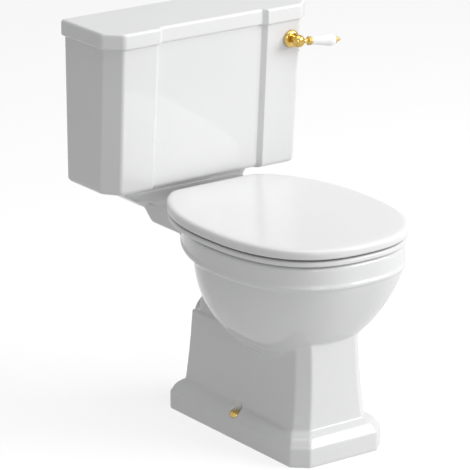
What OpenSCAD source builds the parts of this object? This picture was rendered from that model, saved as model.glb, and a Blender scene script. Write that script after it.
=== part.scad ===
// Close coupled toilet: a china pan and cistern, a seat with a lid, and a
// siphon flush worked by a brass lever. +Z is up, the wall is at +Y, and the
// origin is on the floor midway between the two floor fixing holes.

/* [Pan] */
// Distance from the floor fixings back to the wall
wall_y = 381; // [372:1:396]
// Height of the rim above the floor
rim_z = 418; // [410:1:430]
// Width across the rim
rim_w = 368; // [356:1:372]
// How far the rim reaches in front of the floor fixings
rim_reach = 271; // [264:1:275]
// Height of the flat band round the rim
band_h = 46; // [42:1:50]
// Width of the plinth
plinth_w = 224; // [220:1:230]
// Height of the plinth
plinth_h = 41; // [38:1:43]
// How far the plinth reaches in front of the floor fixings
plinth_reach = 221; // [217:1:226]
// How far the plinth reaches behind the floor fixings
plinth_back = 208; // [205:1:210]
// Width of the pedestal at its foot
foot_w = 175; // [172:1:178]
// Thickness of the china walls of the pan
pan_wall = 13; // [11:0.5:15]
// Width of the hinge deck behind the seat
deck_w = 237; // [232:1:242]
// Height of the shelf that carries the cistern, above the rim
shelf_rise = 24; // [21:1:27]
// Height of the outlet centre above the floor
outlet_z = 180; // [176:1:184]
// Outside diameter of the outlet spigot
outlet_d = 102; // [98:1:104]
// Inside diameter of the trapway
trap_d = 54; // [50:1:56]

/* [Fixings] */
// Distance between the two floor fixing holes
floor_spacing = 196; // [194:1:198]
// Diameter of the floor fixing holes
floor_hole_d = 12; // [11:0.5:13]
// Diameter of the hole for each floor screw
floor_screw_d = 6.6; // [5.5:0.1:7]
// Distance between the two seat hinge posts
hinge_spacing = 160; // [156:1:164]
// Distance between the two coupling bolts
coupling_spacing = 146; // [142:1:152]
// Diameter of the seat and coupling bolts
bolt_d = 8; // [7:0.5:8.5]

/* [Cistern] */
// Width of the cistern lid
tank_lid_w = 495; // [490:1:500]
// Depth of the cistern lid, wall to front
tank_lid_d = 175.5; // [174:0.5:177]
// Thickness of the cistern lid
tank_lid_h = 33; // [30:1:36]
// Width of the cistern at its top
tank_top_w = 477; // [472:1:480]
// Width of the cistern at its bottom
tank_bot_w = 471; // [464:1:474]
// Depth of the cistern at its top
tank_top_d = 169.5; // [168:0.5:171]
// Depth of the cistern at its bottom
tank_bot_d = 151; // [149:0.5:153]
// Height of the cistern without its lid
tank_h = 301; // [298:1:306]
// Thickness of the cistern walls
tank_wall = 11; // [10:0.5:12]
// Depth of the recessed front panel
panel_recess = 9; // [7:0.5:10]
// Width of the recessed front panel
panel_w = 249; // [242:1:256]

/* [Seat] */
// Width of the seat lid
seat_w = 378; // [375:1:381]
// How far the seat reaches in front of the floor fixings
seat_reach = 279; // [277:1:281]
// Thickness of the seat lid at its edge
seat_lid_h = 18.5; // [18:0.5:19.5]
// Thickness of the seat ring
seat_ring_h = 10; // [9:0.5:10.5]
// Width of the opening in the ring
opening_w = 224; // [220:1:228]
// Length of the opening in the ring
opening_l = 290; // [286:1:294]
// Diameter of the hinge pins
hinge_pin_d = 8; // [7:0.5:8.5]

/* [Flush] */
// Distance from the centreline to the lever spindle
lever_x = 191; // [189:1:193]
// Length of the lever's ceramic grip
grip_l = 54; // [50:1:58]
// Diameter of the lever spindle
spindle_d = 9; // [8:0.5:9.5]
// Length of the crank inside the cistern
crank_l = 112; // [110:1:113]
// Diameter of the siphon bell
bell_d = 80; // [77:1:82]
// Diameter of the float
float_d = 84; // [80:1:86]

/* [Hidden] */
rest_gap = 0.3;        // between two bodies that rest on each other
run_gap = 0.05;        // round a shaft that turns in its bore
over = 1;              // how far a cut runs past a face

china = "whitesmoke";
brass = "goldenrod";
steel = "silver";
rubber = "dimgray";
nylon = "gainsboro";

// ------------------------------------------------------- shapes used throughout

function xy(p) = [p.x, p.y];
function unit(v) = v / norm(v);
function mix(a, b, t) = a + (b - a) * t;
function at_height(ring, z) = [for (p = ring) [p.x, p.y, z]];

// The arc that rounds corner p = [x, y, radius] between its neighbours a and b.
function corner_arc(a, p, b, n) =
    let (u = unit(xy(a) - xy(p)), v = unit(xy(b) - xy(p)),
         half = acos(max(-1, min(1, u * v))) / 2,
         centre = xy(p) + unit(u + v) * p[2] / sin(half),
         s = xy(p) + u * p[2] / tan(half) - centre,
         e = xy(p) + v * p[2] / tan(half) - centre,
         start = atan2(s.y, s.x), swing = atan2(e.y, e.x) - start,
         turn = swing > 180 ? swing - 360 : swing < -180 ? swing + 360 : swing)
    [for (i = [0:n]) centre + p[2] * [cos(start + turn * i / n), sin(start + turn * i / n)]];

// A closed outline with every corner [x, y, radius] rounded by n chords.
function rounded(pts, n = 3) =
    let (m = len(pts))
    [for (i = [0:m - 1]) each corner_arc(pts[(i + m - 1) % m], pts[i], pts[(i + 1) % m], n)];

// An egg outline about y = c: half width w, reaching front and rear from there.
function egg(w, c, front, rear, e = 2.1, e_rear = 2.1, n = 44) =
    [for (i = [0:n - 1])
        let (a = 360 * (i + 0.5) / n, p = 2 / (a > 180 ? e : e_rear), far = a > 180 ? front : rear)
        [w * sign(cos(a)) * pow(abs(cos(a)), p), c + far * sign(sin(a)) * pow(abs(sin(a)), p)]];

// A block outline from y0 (front, chamfered by c) to y1 (rear).
function block(w, y0, y1, c, r = 4) =
    rounded([[w, y1, r], [-w, y1, r], [-w, y0 + c.y, r], [-w + c.x, y0, r],
             [w - c.x, y0, r], [w, y0 + c.y, r]]);

// A solid through a stack of level rings that all have as many points.
module loft(rings) {
    n = len(rings[0]);
    m = len(rings);
    bottom = [for (i = [0:n - 1]) i];
    top = [for (i = [n - 1:-1:0]) (m - 1) * n + i];
    low = [for (j = [0:m - 2], i = [0:n - 1])
        [j * n + i, (j + 1) * n + (i + 1) % n, j * n + (i + 1) % n]];
    high = [for (j = [0:m - 2], i = [0:n - 1])
        [j * n + i, (j + 1) * n + i, (j + 1) * n + (i + 1) % n]];
    polyhedron(points = [for (r = rings) each r],
               faces = concat([bottom, top], low, high), convexity = 8);
}

// A cylinder from point a to point b.
module rod(a, b, d, $fn = 48) {
    v = b - a;
    translate(a)
        rotate([0, acos(v.z / norm(v)), atan2(v.y, v.x)])
        cylinder(h = norm(v), d = d);
}

// A tube standing on z = 0.
module tube(h, outer, inner, $fn = 64)
    difference() {
        cylinder(h = h, d = outer);
        translate([0, 0, -over]) cylinder(h = h + 2 * over, d = inner);
    }

// A wing nut standing on z = 0 with its bore up the middle.
module wing_nut(bore) {
    hub = bore + 7;
    difference() {
        union() {
            cylinder(h = 9, d1 = hub + 3, d2 = hub - 1, $fn = 48);
            for (side = [-1, 1])
                translate([-1.5, side > 0 ? 3 : -3 - 14, 3])
                    rotate([side * 14, 0, 0])
                    cube([3, 14, 10]);
        }
        translate([0, 0, -over]) cylinder(h = 30, d = bore, $fn = 48);
    }
}

// ---------------------------------------------------------------------- the pan

rim_hw = rim_w / 2;
rim_c = -35;                                  // where the rim is widest
rim_front = rim_reach + rim_c;
rim_rear = 275;
band_z = rim_z - band_h;
bowl_foot_z = 198;                            // where the bowl would close below
waist_hw = foot_w / 2 - 11;                   // the pedestal just under the bowl
foot_z = plinth_h + 20;
foot_front = -plinth_reach + 26;
foot_back = plinth_back - 20;
shoulder_z = 211;                             // top of the pedestal behind the bowl
under_bowl_z = 240;                           // the pedestal ends inside the bowl
seat_z = plinth_h + 4;                        // flat round the floor fixings
deck_hw = deck_w / 2;
deck_under_z = rim_z - 39;
deck_rear = wall_y - 127;
shelf_z = rim_z + shelf_rise;
shelf_front = wall_y - 85;
shelf_rear = wall_y - 8;
shelf_plate = 14;
outlet_y = wall_y - 48;                       // flush outlet of the cistern
duct_z = rim_z - 22;                          // flush duct to the bowl
hinge_x = hinge_spacing / 2;
hinge_y = 193.5;
hinge_nut_z = rim_z - 30;                     // underside of the deck at the hinges

// How much of its size the bowl keeps at u: 0 at the band, 1 at its foot.
function keep(u, power) = sqrt(max(0, 1 - pow(u, power)));

// The bowl, and the flat band round its rim with a bead along its lower edge.
module bowl_outside()
    loft(concat(
        [for (i = [9:-1:0])
            let (u = 0.985 * sin(10 * i), z = band_z - 1 - u * (band_z - 1 - bowl_foot_z))
            at_height(egg((rim_hw - 3) * keep(u, 2.2), rim_c,
                          (rim_front - 3) * keep(u, 3.9), 219 * keep(u, 3.3), 2.1, 1.63), z)],
        [for (s = [[-0.5, -1.5], [2.5, 1.5], [7, 1.5], [10, -1.5],
                   [band_h - 5, -1], [band_h - 1.5, -2.5], [band_h, -6]])
            at_height(egg(rim_hw + s[1], rim_c, rim_front + s[1], rim_rear + s[1], 2.1, 1.63),
                      band_z + s[0])]));

// Half width and reach of the pedestal: t is 0 at its foot and 1 under the bowl.
function pedestal_hw(t) = mix(foot_w / 2, waist_hw, 1 - (1 - t) * (1 - t));
function pedestal_ring(t, rear = undef) =
    block(pedestal_hw(t), mix(foot_front, foot_front + 11, t),
          is_undef(rear) ? mix(foot_back, foot_back - 10, t) : rear, mix([23, 22], [21, 20], t));

// The plinth and its cove: t is 0 at the plinth's face and 1 at the foot.
function plinth_ring(t) =
    block(mix(plinth_w, foot_w, t) / 2, mix(-plinth_reach, foot_front, t),
          mix(plinth_back, foot_back, t), mix([30, 27], [23, 22], t));

module pedestal_outside() {
    rise = foot_z - plinth_h;
    top_t = (shoulder_z - foot_z) / (under_bowl_z - foot_z);
    loft(concat(
        [at_height(plinth_ring(0), 0), at_height(plinth_ring(0), plinth_h - 3),
         at_height(plinth_ring(0.04), plinth_h - 0.8), at_height(plinth_ring(0.11), plinth_h)],
        [for (i = [1:5])
            at_height(plinth_ring(mix(0.11, 1, sin(18 * i))), plinth_h + rise * (1 - cos(18 * i)))],
        [for (t = [0.12, 0.25, 0.4, 0.6, top_t])
            at_height(pedestal_ring(t), mix(foot_z, under_bowl_z, t))],
        // above the shoulder only the front carries on, up into the bowl
        [for (t = [top_t + 0.01, 1]) at_height(pedestal_ring(t, 40), mix(foot_z, under_bowl_z, t))]));
    for (side = [-1, 1])
        translate([side * floor_spacing / 2, 0, 0]) cylinder(h = seat_z, r = 12.5, $fn = 32);
}

// The neck that holds the trapway, from the shoulder up to the deck.
module neck_outside()
    loft([for (s = [[-8, 72, 168], [3, 72, 168], [30, 68, 168], [57, 62, 167], [90, 60, 171],
                    [115, 61, 181], [134, 65, 196], [151, 77, 215], [161, 95, 236], [168, 112, 250],
                    [174, 113, 251]])
        at_height(block(s[1], 0, s[2], [1, 1], 16), shoulder_z + s[0])]);

// The deck: its rear sweeps up to the shelf.
module deck_outside()
    loft([for (s = [[0, 4, 0], [1.2, 1.2, 2], [4, 0, 8], [11, 0, 16], [19, 0, 25], [27, 0, 34],
                    [36, 0, 38], [38, 1, 38], [39, 3.5, 38]])
        at_height(block(deck_hw - s[1], 60, deck_rear + s[2], [1, 1], 3), deck_under_z + s[0])]);

// The shelf under the cistern: its sides sweep out above the deck.
module shelf_outside()
    loft([for (s = [[-37, 122, 38], [-34, 126, 38], [-28, 133, 37], [-24, 139, 32],
                    [-21, 145, 12], [-17, 151, 4], [-12, 159, 0], [-6, 166, 0], [-2, 167, 0.5],
                    [0, 165, 3]])
        at_height(rounded([[s[1], shelf_rear, 6], [-s[1], shelf_rear, 6],
                           [-s[1], shelf_front - s[2], 38], [s[1], shelf_front - s[2], 38]], 4),
                  shelf_z + s[0])]);

// The well and the duct that carry the flush from the cistern to the bowl.
module duct_outside() {
    translate([0, outlet_y, duct_z - 24]) cylinder(h = 44, r = 38, $fn = 40);
    along_y(190, 0, duct_z) cylinder(h = outlet_y - 190, r = 20, $fn = 24);
}

// The inside of the bowl: height, half width, and reach to the front and rear.
bowl_inside = [[108, 24, 50, 60], [116, 34, 64, 66], [126, 38, 68, 54], [142, 44, 76, 25],
               [152, 46, 80, 20], [170, 50, 88, 33], [200, 62, 108, 55], [230, 82, 135, 76],
               [260, 108, 165, 94], [290, 132, 188, 108], [320, 150, 203, 120], [350, 159, 212, 126],
               [370, 160, 214, 128], [384, 152, 204, 124], [390, 140, 190, 118],
               [419, 141, 191, 119]];

module bowl_space()
    loft([for (s = bowl_inside) at_height(egg(s[1], rim_c, s[2], s[3], 2.2, 2.2, 40), s[0])]);

// The sump's shell, where it stands free inside the hollow pedestal.
module sump_shell() {
    wall = 11;
    floor_ring = bowl_inside[0];
    loft(concat(
        [for (k = [[-12, 2], [-8, 9]])
            at_height(egg(floor_ring[1] + k[1], rim_c, floor_ring[2] + k[1], floor_ring[3] + k[1],
                          2.2, 2.2, 40), floor_ring[0] + k[0])],
        [for (i = [1:6]) let (s = bowl_inside[i])
            at_height(egg(s[1] + wall, rim_c, s[2] + wall, s[3] + wall, 2.2, 2.2, 40), s[0])]));
}

// The trapway climbs out of the sump, turns over the weir and levels out at the outlet.
spigot_y = 182;                               // where the outlet's socket begins
trap = [[7.3, 126.4, 1], [96, 240, 46], [160, outlet_z, 40], [spigot_y + 3, outlet_z, 1]];
trap_line = concat([xy(trap[0])], corner_arc(trap[0], trap[1], trap[2], 7),
                   corner_arc(trap[1], trap[2], trap[3], 3), [xy(trap[3])]);

// A ring of radius r round point i of a line in the YZ plane, square to the line there.
function ring_on(line, i, r, n) =
    let (ahead = unit(line[min(i + 1, len(line) - 1)] - line[max(i - 1, 0)]))
    [for (k = [0:n - 1])
        let (a = 360 * k / n)
        [r * cos(a), line[i].x + r * sin(a) * ahead.y, line[i].y - r * sin(a) * ahead.x]];

// The trapway at radius r, its ends run out by lead at the sump and tail at the outlet.
module trapway(r, lead, tail, n = 26) {
    m = len(trap_line);
    line = concat([trap_line[0] - unit(trap_line[1] - trap_line[0]) * lead],
                  [for (i = [1:m - 2]) trap_line[i]], [trap_line[m - 1] + [tail, 0]]);
    loft([for (i = [0:m - 1]) ring_on(line, i, r, n)]);
}

module along_y(y, x = 0, z = 0) translate([x, y, z]) rotate([-90, 0, 0]) children();

// The china body as it leaves its mould, before its holes are cut.
module pan_casting() {
    difference() {
        union() {
            difference() {
                union() {
                    bowl_outside();
                    pedestal_outside();
                    neck_outside();
                    deck_outside();
                    shelf_outside();
                    duct_outside();
                }
                // the pedestal is hollow, open below and behind
                loft([for (s = [[-over, 0, 0], [foot_z, 0, 0], [182, 4, 6], [192, 18, 12]])
                    at_height(block(foot_w / 2 - pan_wall - s[1], foot_front + pan_wall + s[2],
                                    plinth_back + 90, [20, 20], 6), s[0])]);
                // the shelf is hollow on both sides of the flush well
                for (side = [-1, 1])
                    translate([side > 0 ? 42 : -42 - 64, shelf_front + 4, deck_under_z])
                        cube([64, shelf_rear - shelf_front - 12, shelf_z - shelf_plate - deck_under_z]);
            }
            sump_shell();
            trapway(trap_d / 2 + 10, 4, 0);
        }
        bowl_space();
        trapway(trap_d / 2, 0, over);
    }
}

spigot_end = plinth_back + 3;

module pan() color(china) difference() {
    union() {
        resize([0, 0, shelf_z]) pan_casting();
        along_y(spigot_y, 0, outlet_z) rotate_extrude($fn = 96)
            polygon([[30, 0], [outlet_d / 2, 0], [outlet_d / 2, spigot_end - spigot_y],
                     [outlet_d / 2 - 7, spigot_end - spigot_y], [outlet_d / 2 - 7, 8], [30, 8]]);
    }
    // the flush comes down through the shelf, then runs forward to the bowl
    translate([0, outlet_y, duct_z - 12]) cylinder(h = 80, d = 54, $fn = 72);
    along_y(60, 0, duct_z) cylinder(h = outlet_y - 60, d = 28, $fn = 48);
    for (side = [-1, 1]) {
        translate([side * floor_spacing / 2, 0, -over])
            cylinder(h = 90, d = floor_hole_d, $fn = 48);
        translate([side * floor_spacing / 2, 0, seat_z])
            cylinder(h = 44, d = 26, $fn = 64);
        translate([side * hinge_x, hinge_y, hinge_nut_z - over])
            cylinder(h = 80, d = bolt_d + 4, $fn = 48);
        translate([side * hinge_x, hinge_y, deck_under_z - 40])
            cylinder(h = hinge_nut_z - deck_under_z + 40, d = 30, $fn = 48);
        translate([side * coupling_spacing / 2, outlet_y, shelf_z - 60])
            cylinder(h = 80, d = bolt_d + 4, $fn = 48);
    }
}

// Nylon sleeves that line the floor fixing holes, one screw through each.
module floor_sleeves() color(nylon)
    for (side = [-1, 1]) translate([side * floor_spacing / 2, 0, 0]) difference() {
        union() {
            translate([0, 0, 0.5]) cylinder(h = seat_z, d = floor_hole_d - 2 * run_gap, $fn = 48);
            translate([0, 0, seat_z]) cylinder(h = 2, r = 9, $fn = 48);
        }
        translate([0, 0, -over]) cylinder(h = seat_z + 5, d = floor_screw_d, $fn = 32);
    }

// Brass domes that hide the floor screws.
module floor_caps() color(brass)
    for (side = [-1, 1]) translate([side * floor_spacing / 2, 0, seat_z])
        rotate_extrude($fn = 64)
        polygon(concat([[9.5, 0], [11.5, 0], [11.5, 2.2]],
                       [for (a = [10:10:90]) [11.5 * cos(a), 2.2 + 7.4 * sin(a)]],
                       [for (a = [90:-15:0]) [9.5 * cos(a), 2.2 + 5.6 * sin(a)]]));

// ------------------------------------------------------------------ the cistern

tank_z = shelf_z + 12;                        // the gasket holds the cistern up
tank_top_z = tank_z + tank_h;
tank_floor = 14;
tank_lid_z = tank_top_z + rest_gap;
corner = [26, 35];                            // the cut-off front corners
wall_fixing_x = 150;
wall_fixing_z = tank_top_z - 55;

// Outline of the cistern or its lid: half width w, depth d, drawn in by inset.
function tank_outline(w, d, cut, panel, inset = 0, soft = 10) =
    let (hw = w - inset, back = wall_y - inset, front = wall_y - d + inset,
         k = inset * 0.41, p = panel - inset * 0.41, r = max(1, soft - inset / 2))
    rounded([[hw, back, 5], [-hw, back, 5], [-hw, front + cut.y - k, r],
             [-hw + cut.x - k, front, r], [-p - panel_recess, front, 3],
             [-p, front + panel_recess, 3], [p, front + panel_recess, 3],
             [p + panel_recess, front, 3], [hw - cut.x + k, front, r],
             [hw, front + cut.y - k, r]]);

// How far up the cistern a height lies: 0 at the bottom, 1 at the top.
function up(z) = (z - tank_z) / tank_h;
function tank_hw(z) = mix(tank_bot_w, tank_top_w, up(z)) / 2;
function tank_d(z) = mix(tank_bot_d, tank_top_d, up(z));
function tank_ring(z, inset) =
    at_height(tank_outline(tank_hw(z), tank_d(z), corner, panel_w / 2, inset), z);
function tank_front(z) = wall_y - tank_d(z);

module cistern_casting() difference() {
    loft([tank_ring(tank_z, 10), tank_ring(tank_z + 2, 5.5), tank_ring(tank_z + 5.5, 2),
          tank_ring(tank_z + 11, 0), tank_ring(tank_top_z - 1.5, 0), tank_ring(tank_top_z, 1.5)]);
    loft([tank_ring(tank_z + tank_floor, tank_wall + 8), tank_ring(tank_z + tank_floor + 8, tank_wall),
          tank_ring(tank_top_z + 2, tank_wall)]);
}

module cistern() color(china) difference() {
    resize([0, 0, tank_h]) cistern_casting();
    translate([0, outlet_y, tank_z - over]) cylinder(h = 30, r = siphon_leg_r + 1.5, $fn = 72);
    for (side = [-1, 1]) {
        translate([side * coupling_spacing / 2, outlet_y, tank_z - over])
            cylinder(h = 30, d = bolt_d + 4, $fn = 48);
        along_y(wall_y - tank_wall - 20, side * wall_fixing_x, wall_fixing_z)
            cylinder(h = 40, r = 5, $fn = 32);
    }
    along_y(wall_y - tank_top_d - 10, lever_x, lever_z) cylinder(h = 50, r = bush_r + 1, $fn = 48);
    translate([tank_hw(inlet_z) - 30, inlet_y, inlet_z]) rotate([0, 90, 0])
        cylinder(h = 60, r = shank_r + 0.8, $fn = 48);
}

lid_corner = [34, 34];
function lid_ring(z, inset) =
    at_height(tank_outline(tank_lid_w / 2, tank_lid_d, lid_corner, panel_w / 2 - 3, inset, 16), z);

lid_rib_h = 12;

module cistern_lid() color(china) resize([0, 0, tank_lid_h + rest_gap + lid_rib_h]) difference() {
    top = tank_lid_z + tank_lid_h;
    union() {
        loft([lid_ring(tank_lid_z, 5), lid_ring(tank_lid_z + 1.2, 2.2), lid_ring(tank_lid_z + 3.5, 0.5),
              lid_ring(tank_lid_z + 6, 0), lid_ring(top - 6, 0), lid_ring(top - 3, 0.8),
              lid_ring(top - 1, 2.2), lid_ring(top, 4.6)]);
        // the rib underneath keeps the lid from sliding off
        loft([for (z = [tank_top_z - lid_rib_h, tank_lid_z + 2])
            at_height(tank_outline(tank_hw(tank_top_z), tank_top_d, corner, panel_w / 2,
                                   tank_wall + 4), z)]);
    }
    loft([for (z = [tank_top_z - lid_rib_h - over, top - 15])
        at_height(tank_outline(tank_hw(tank_top_z), tank_top_d, corner, panel_w / 2,
                               tank_wall + 11), z)]);
}

// The soft ring between cistern and pan, pressed over the siphon's nut.
module coupling_gasket() color(rubber) translate([0, outlet_y, shelf_z + rest_gap])
    rotate_extrude($fn = 96)
    polygon([[siphon_leg_r + 1, 0], [41, 0], [43.5, 3], [43.5, 8], [41, tank_z - shelf_z - 2 * rest_gap],
             [nut_r + 1, tank_z - shelf_z - 2 * rest_gap], [nut_r + 1, 2.6], [siphon_leg_r + 1, 2.6]]);

coupling_washer_h = 3;

module coupling_bolts() color(brass)
    for (side = [-1, 1]) translate([side * coupling_spacing / 2, outlet_y, 0]) {
        translate([0, 0, shelf_z - shelf_plate - 22])
            cylinder(h = tank_z + tank_floor + coupling_washer_h - shelf_z + shelf_plate + 22,
                     d = bolt_d, $fn = 48);
        translate([0, 0, tank_z + tank_floor + coupling_washer_h]) difference() {
            rotate_extrude($fn = 48)
                polygon([[0, 0], [9, 0], [9, 2], [7.5, 4], [4, 5], [0, 5]]);
            translate([-10, -0.9, 3.2]) cube([20, 1.8, 5]);
        }
    }

module coupling_washers() color(rubber)
    for (side = [-1, 1]) translate([side * coupling_spacing / 2, outlet_y, 0]) {
        translate([0, 0, tank_z + tank_floor]) tube(coupling_washer_h, 26, bolt_d + 2 * run_gap);
        translate([0, 0, shelf_z - shelf_plate - 2]) tube(2, 26, bolt_d + 2 * run_gap);
    }

module coupling_wing_nuts() color(brass)
    for (side = [-1, 1])
        translate([side * coupling_spacing / 2, outlet_y, shelf_z - shelf_plate - 2])
            mirror([0, 0, 1]) wing_nut(bolt_d + 2 * run_gap);

// ---------------------------------------------------------------------- the seat

hinge_z = rim_z + 26;
ring_z = rim_z + 3;
ring_top = ring_z + seat_ring_h;
lid_z = ring_top + 5;
seat_c = -30;
seat_front = seat_reach + seat_c;
pin_r = hinge_pin_d / 2;
barrel_r = pin_r + 2.5;
ear_x = [hinge_x - 25, hinge_x - 9];          // the ring's ears, inner and outer face
post_x = [hinge_x - 8, hinge_x + 8];          // the posts' barrels
pocket_x = [hinge_x - 26, hinge_x + 10];      // the lid's pockets round them
pin_end = hinge_x + 27;

// Outline of the seat, drawn in by inset and cut off softly at y = rear.
function seat_outline(inset, rear) =
    [for (p = egg(seat_w / 2 - inset, seat_c, seat_front - inset, 318 - inset, 2.1, 2, 72))
        [p.x, p.y > 100 ? rear - 3 * ln(1 + exp((rear - p.y) / 3)) : p.y]];

// The opening of the ring at height z, wider by flare.
function ring_opening(z, flare) =
    at_height(egg(opening_w / 2 + flare, -60, opening_l / 2 + flare, opening_l / 2 + flare, n = 48), z);

module seat_ring() color(china) {
    rear = hinge_y - 9.5;
    difference() {
        union() {
            difference() {
                loft([for (s = [[0, 4.5], [1.5, 3], [seat_ring_h - 3.5, 3], [seat_ring_h - 1.2, 4.2],
                                [seat_ring_h, 7]])
                    at_height(seat_outline(s[1], rear - (s[1] - 3) / 2), ring_z + s[0])]);
                loft([ring_opening(ring_z - over, 0), ring_opening(ring_top - 4, 0),
                      ring_opening(ring_top - 1.2, 1.5), ring_opening(ring_top + over, 6)]);
            }
            // an arm and an ear for each hinge pin
            for (side = [-1, 1]) translate([side > 0 ? ear_x[0] : -ear_x[1], 0, 0]) {
                translate([0, rear - 14, ring_z + 1])
                    cube([ear_x[1] - ear_x[0], hinge_y + 6 - rear + 14, seat_ring_h - 2]);
                translate([0, hinge_y - 5.5, ring_top - 1.5])
                    cube([ear_x[1] - ear_x[0], 11, hinge_z - ring_top + 1.5]);
                translate([0, hinge_y, hinge_z]) rotate([0, 90, 0])
                    cylinder(h = ear_x[1] - ear_x[0], r = barrel_r, $fn = 48);
            }
        }
        translate([-pin_end, hinge_y, hinge_z]) rotate([0, 90, 0])
            cylinder(h = 2 * pin_end, r = pin_r + run_gap, $fn = 48);
    }
}

// Rubber studs under the ring, resting on the rim.
module ring_buffers() color(rubber)
    for (side = [-1, 1], p = [[70, -231], [126, 58]])
        translate([side * p.x, p.y, rim_z + rest_gap])
            rotate_extrude($fn = 32) polygon([[0, 0], [6, 0], [7, 1], [7, ring_z - rim_z - rest_gap],
                                             [0, ring_z - rim_z - rest_gap]]);

lid_hollow = 10;

module seat_lid() color(china) difference() {
    loft(concat(
        [for (s = [[0, 2.5, 7], [1.5, 0.8, 5.4], [6, 0, 0.6], [seat_lid_h - 7.5, 0, 0],
                   [seat_lid_h - 4, 1, 1], [seat_lid_h - 1.6, 3, 3], [seat_lid_h, 7, 6.5],
                   [seat_lid_h + 0.9, 16, 14], [seat_lid_h + 1.6, 40, 32], [seat_lid_h + 2, 75, 60]])
            at_height(seat_outline(s[1], hinge_y + 24 - s[2]), lid_z + s[0])]));
    // the underside is hollow inside a lip, and solid round the hinge
    loft([for (s = [[-over, 13], [lid_hollow, 15]])
        at_height(seat_outline(s[1], hinge_y - 24), lid_z + s[0])]);
    for (side = [-1, 1]) {
        translate([side > 0 ? pocket_x[0] : -pocket_x[1], hinge_y - 8, lid_z - over])
            cube([pocket_x[1] - pocket_x[0], 50, hinge_z + barrel_r + 1 - lid_z + over]);
        translate([side > 0 ? pocket_x[1] - 2 : -pin_end - 1, hinge_y, hinge_z]) rotate([0, 90, 0])
            cylinder(h = pin_end + 3 - pocket_x[1], r = pin_r + run_gap, $fn = 48);
    }
}

// Rubber studs in the hollow of the lid, resting on the ring.
module lid_buffers() color(rubber)
    for (side = [-1, 1], p = [[66, -232], [128, 50]])
        translate([side * p.x, p.y, ring_top + rest_gap])
            rotate_extrude($fn = 32)
            polygon([[0, 0], [5, 0], [6, 1], [6, lid_z + lid_hollow - ring_top - rest_gap],
                     [0, lid_z + lid_hollow - ring_top - rest_gap]]);

post_z = rim_z + 1;                           // on its rubber washer

module hinge_posts() color(brass)
    for (side = [-1, 1]) translate([side * hinge_x, hinge_y, 0]) difference() {
        union() {
            translate([0, 0, post_z]) cylinder(h = 3, d1 = 17, d2 = 15, $fn = 48);
            translate([0, 0, post_z + 2]) cylinder(h = hinge_z - post_z - 2, r = barrel_r - 0.2, $fn = 48);
            translate([-(post_x[1] - post_x[0]) / 2, 0, hinge_z]) rotate([0, 90, 0])
                cylinder(h = post_x[1] - post_x[0], r = barrel_r, $fn = 48);
            translate([0, 0, hinge_nut_z - 28]) cylinder(h = post_z - hinge_nut_z + 29, d = bolt_d, $fn = 48);
        }
        translate([-20, 0, hinge_z]) rotate([0, 90, 0])
            cylinder(h = 40, r = pin_r + run_gap, $fn = 48);
    }

module hinge_pins() color(steel)
    for (side = [-1, 1]) translate([side > 0 ? ear_x[0] + 0.5 : -pin_end, hinge_y, hinge_z])
        rotate([0, 90, 0]) cylinder(h = pin_end - ear_x[0] - 0.5, r = pin_r, $fn = 48);

module hinge_washers() color(rubber)
    for (side = [-1, 1]) translate([side * hinge_x, hinge_y, 0]) {
        translate([0, 0, rim_z]) tube(post_z - rim_z, 18, bolt_d + 2 * run_gap);
        translate([0, 0, hinge_nut_z - 2]) tube(2, 22, bolt_d + 2 * run_gap);
    }

// Knurled nuts, run up against the deck from below.
module hinge_nuts() color(nylon)
    for (side = [-1, 1]) translate([side * hinge_x, hinge_y, hinge_nut_z - 2]) difference() {
        mirror([0, 0, 1]) union() {
            cylinder(h = 5, r = 11, $fn = 6);
            translate([0, 0, 5]) cylinder(h = 9, d1 = 20, d2 = 16, $fn = 48);
        }
        translate([0, 0, -30]) cylinder(h = 40, d = bolt_d + 2 * run_gap, $fn = 48);
    }

// --------------------------------------------------------------------- the lever

lever_z = tank_top_z - 37;
bush_r = 8;
spindle_r = spindle_d / 2;
rose_y = tank_front(lever_z) - 8;             // front of the rose
arm_y = rose_y - 20;                          // where the arm leaves its boss
taper = atan((tank_top_d - tank_bot_d) / tank_h);
arm_dir = [cos(4.2) * cos(8), -cos(4.2) * sin(8), -sin(4.2)];
grip_from = 28;

// Everything on the arm is turned about its own line.
module on_arm(s) translate([lever_x, arm_y, lever_z] + arm_dir * s)
    rotate([0, acos(arm_dir.z), atan2(arm_dir.y, arm_dir.x)]) children();

module lever_rose() color(brass) along_y(rose_y, lever_x, lever_z) difference() {
    union() {
        rotate_extrude($fn = 72)
            polygon([[0, 0], [12, 0], [14.5, 0.6], [16.5, 2], [17.6, 3.6], [18, 5.4], [18, 6], [0, 6]]);
        cylinder(h = tank_wall + 31, r = bush_r, $fn = 48);
    }
    translate([0, 0, -over]) cylinder(h = 60, r = spindle_r + run_gap, $fn = 48);
}

// One soft washer each side of the wall, cut to the wall's slope.
module lever_seal() color(rubber) {
    along_y(rose_y + 6, lever_x, lever_z) difference() {
        cylinder(h = 6, r = 16.5, $fn = 64);
        translate([0, 0, -over]) cylinder(h = 9, r = bush_r + 0.1, $fn = 48);
        translate([0, 0, 2 - run_gap]) rotate([taper, 0, 0]) translate([-30, -30, 0]) cube(60);
    }
    along_y(rose_y + 6 + tank_wall, lever_x, lever_z) difference() {
        cylinder(h = 6, r = 13, $fn = 64);
        translate([0, 0, -over]) cylinder(h = 9, r = bush_r + 0.1, $fn = 48);
        translate([0, 0, 2 + run_gap]) rotate([taper, 0, 0]) translate([-30, -30, -60]) cube(60);
    }
}

module lever_backnut() color(brass) along_y(rose_y + 12 + tank_wall, lever_x, lever_z) difference() {
    cylinder(h = 7, r = 15, $fn = 6);
    translate([0, 0, -over]) cylinder(h = 9, r = bush_r + run_gap, $fn = 48);
}

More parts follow.
